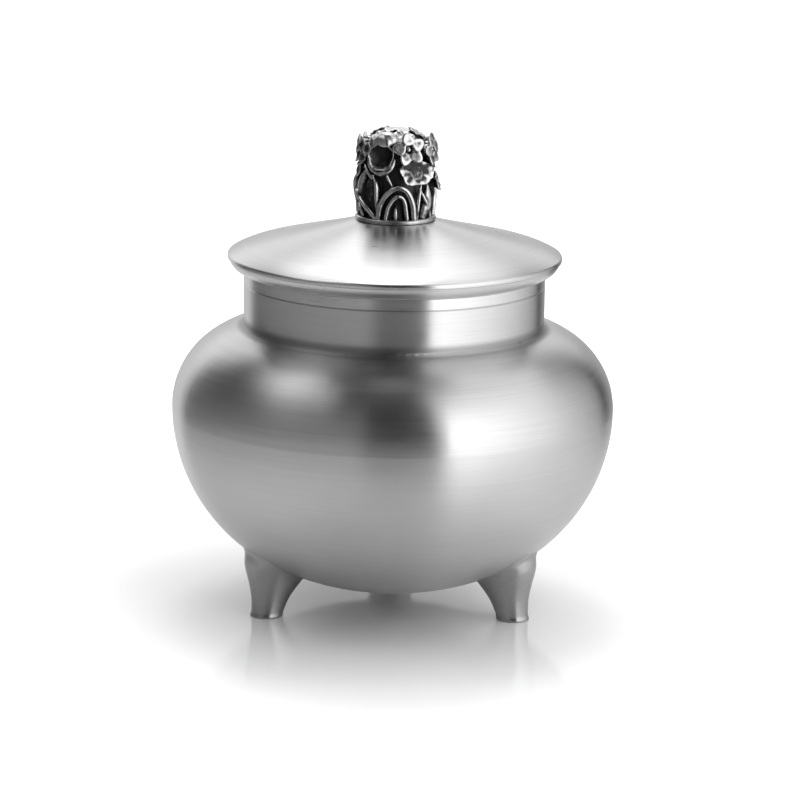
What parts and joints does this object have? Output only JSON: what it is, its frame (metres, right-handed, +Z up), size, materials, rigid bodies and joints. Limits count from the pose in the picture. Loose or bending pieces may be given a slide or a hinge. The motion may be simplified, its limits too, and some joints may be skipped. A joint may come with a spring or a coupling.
{
  "type": "sugar bowl",
  "caption": "Lidded sugar bowl: brushed pewter globe on cast feet, straight neck, shallow spun lid with a cast lotus knob that lifts off.",
  "frame": {"origin": "on the bowl's axis, in the plane its three feet stand on", "axes": "+Z up along the bowl's axis, -Y to the front where two feet and the knob's arched leaves are seen, +X to the right"},
  "size_m": [0.1, 0.1, 0.1095],
  "materials": {
    "brushed_body": "satin pewter, brushed in fine rings round the bowl's axis",
    "brushed_lid": "satin pewter, brushed in fine rings round the lid's axis",
    "cast_foot": "cast pewter, hand smoothed, satin",
    "antiqued_casting": "oxidised pewter casting, dark in the hollows and worn bright on raised edges",
    "turned_ring": "turned pewter, bright with a light tarnish in the corner",
    "fastener_steel": "plain turned steel"
  },
  "bodies": {
    "bowl": {"bowl_lower_shell": "brushed_body", "bowl_upper_shell": "brushed_body", "neck_collar": "brushed_body", "foot_left": "cast_foot", "foot_right": "cast_foot", "foot_rear": "cast_foot"},
    "lid": {"lid_cover": "brushed_lid", "lid_collar": "brushed_lid", "lid_bezel": "brushed_lid", "knob_ring": "turned_ring", "knob_casting": "antiqued_casting", "knob_washer": "fastener_steel", "knob_screw": "fastener_steel"}
  },
  "joints": [
    {"name": "lid_lift", "type": "slide", "parent": "bowl", "child": "lid", "axis": [0, 0, 1], "range_m": [0, 0.08]}
  ]
}
